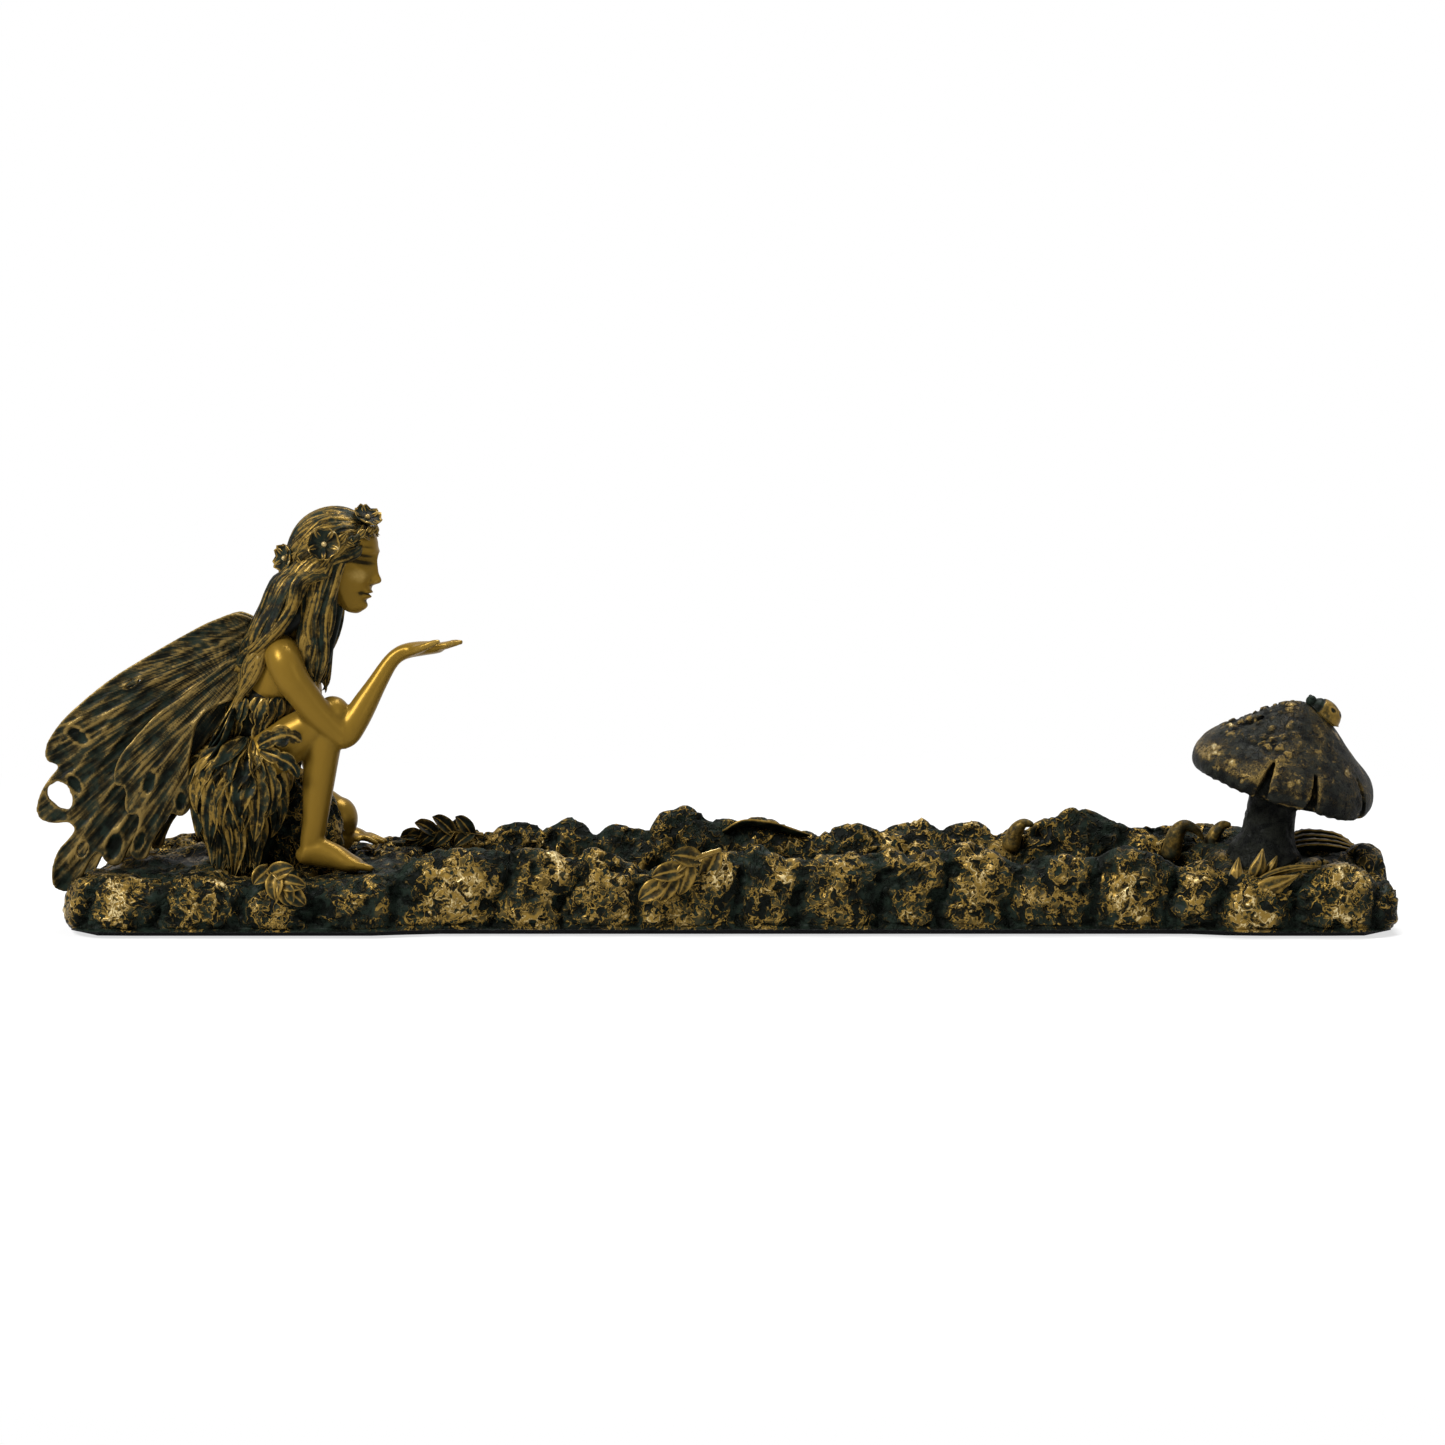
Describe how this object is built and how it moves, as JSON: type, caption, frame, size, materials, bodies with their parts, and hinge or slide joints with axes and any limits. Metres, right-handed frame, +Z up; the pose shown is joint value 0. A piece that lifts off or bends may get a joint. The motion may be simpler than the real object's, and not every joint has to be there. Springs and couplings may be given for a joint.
{
  "type": "incense holder",
  "caption": "Incense stick holder with a crouching winged fairy at one end of a rocky ash trough and a mushroom with the stick hole at the other.",
  "frame": {"origin": "centre of the overall bounding box at the underside of the felt", "axes": "+X runs from the fairy to the mushroom, +Z is up, -Y is the side with the raised hand"},
  "size_m": [0.3109, 0.0525, 0.0964],
  "materials": {
    "bronze_patina": "cast resin with a satin bronze finish, dark green patina in the recesses and gold on the high points",
    "black_felt": "matt black felt"
  },
  "bodies": {
    "root": {"fairy_casting": "bronze_patina", "felt_pad": "black_felt"}
  },
  "joints": []
}
